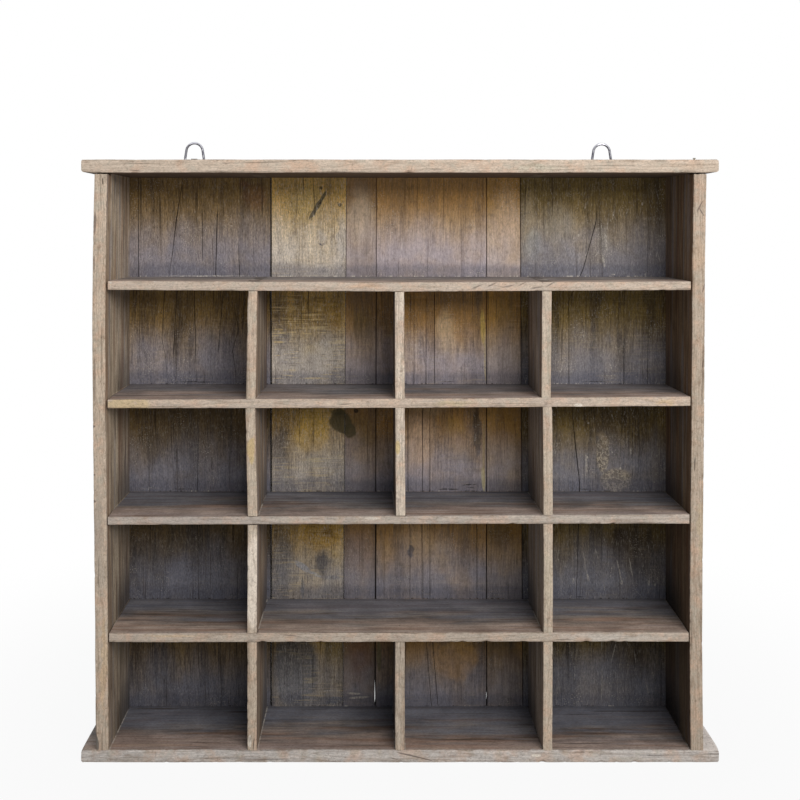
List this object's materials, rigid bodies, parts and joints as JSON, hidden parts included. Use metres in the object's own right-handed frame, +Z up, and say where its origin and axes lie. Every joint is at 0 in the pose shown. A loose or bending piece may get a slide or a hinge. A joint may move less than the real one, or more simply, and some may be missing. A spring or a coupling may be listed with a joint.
{
  "type": "cubby shelf",
  "caption": "Wall-hung cubby shelf of reclaimed boards: shelves and dividers cross in halving joints, with upright back planks and wire ring hangers behind the top board.",
  "frame": {"origin": "middle of the shelf's footprint, on the surface that its bottom board stands on; the footprint runs from the boards' front edges to the back of the hanger straps", "axes": "+X to the right as seen from the front, along the shelves; +Y from front to back, through the depth; +Z up"},
  "size_m": [0.7, 0.1202, 0.6913],
  "materials": {
    "board_wood": "old unfinished softwood, sawn edges, worn grey beige",
    "plank_wood": "weathered planks, brown to grey with ochre patches",
    "nail_steel": "dull bare steel, slightly rusted",
    "hanger_steel": "zinc plated sheet steel",
    "ring_wire": "nickel plated wire"
  },
  "bodies": {
    "case": {"top_board": "board_wood", "bottom_board": "board_wood", "left_side": "board_wood", "right_side": "board_wood", "shelf_1": "board_wood", "shelf_2": "board_wood", "shelf_3": "board_wood", "shelf_4": "board_wood", "left_divider": "board_wood", "right_divider": "board_wood", "upper_middle_divider": "board_wood", "lower_middle_divider": "board_wood", "back_plank_1": "plank_wood", "back_plank_2": "plank_wood", "back_plank_3": "plank_wood", "back_plank_4": "plank_wood", "back_plank_5": "plank_wood", "back_plank_6": "plank_wood", "top_nails": "nail_steel", "proud_nail": "nail_steel", "bottom_nails": "nail_steel", "left_side_nails": "nail_steel", "right_side_nails": "nail_steel", "shelf_1_nails": "nail_steel", "shelf_3_nails": "nail_steel", "shelf_4_nails": "nail_steel", "back_nails": "nail_steel", "left_strap": "hanger_steel", "right_strap": "hanger_steel", "strap_screws": "hanger_steel"},
    "left_ring": {"left_ring": "ring_wire"},
    "right_ring": {"right_ring": "ring_wire"}
  },
  "joints": [
    {"name": "left_ring_hinge", "type": "hinge", "parent": "case", "child": "left_ring", "pos_m": [-0.246, 0.0575, 0.6686], "axis": [1, 0, 0], "range_deg": [-175, 103]},
    {"name": "right_ring_hinge", "type": "hinge", "parent": "case", "child": "right_ring", "pos_m": [0.246, 0.0575, 0.6675], "axis": [1, 0, 0], "range_deg": [-175, 100]}
  ]
}
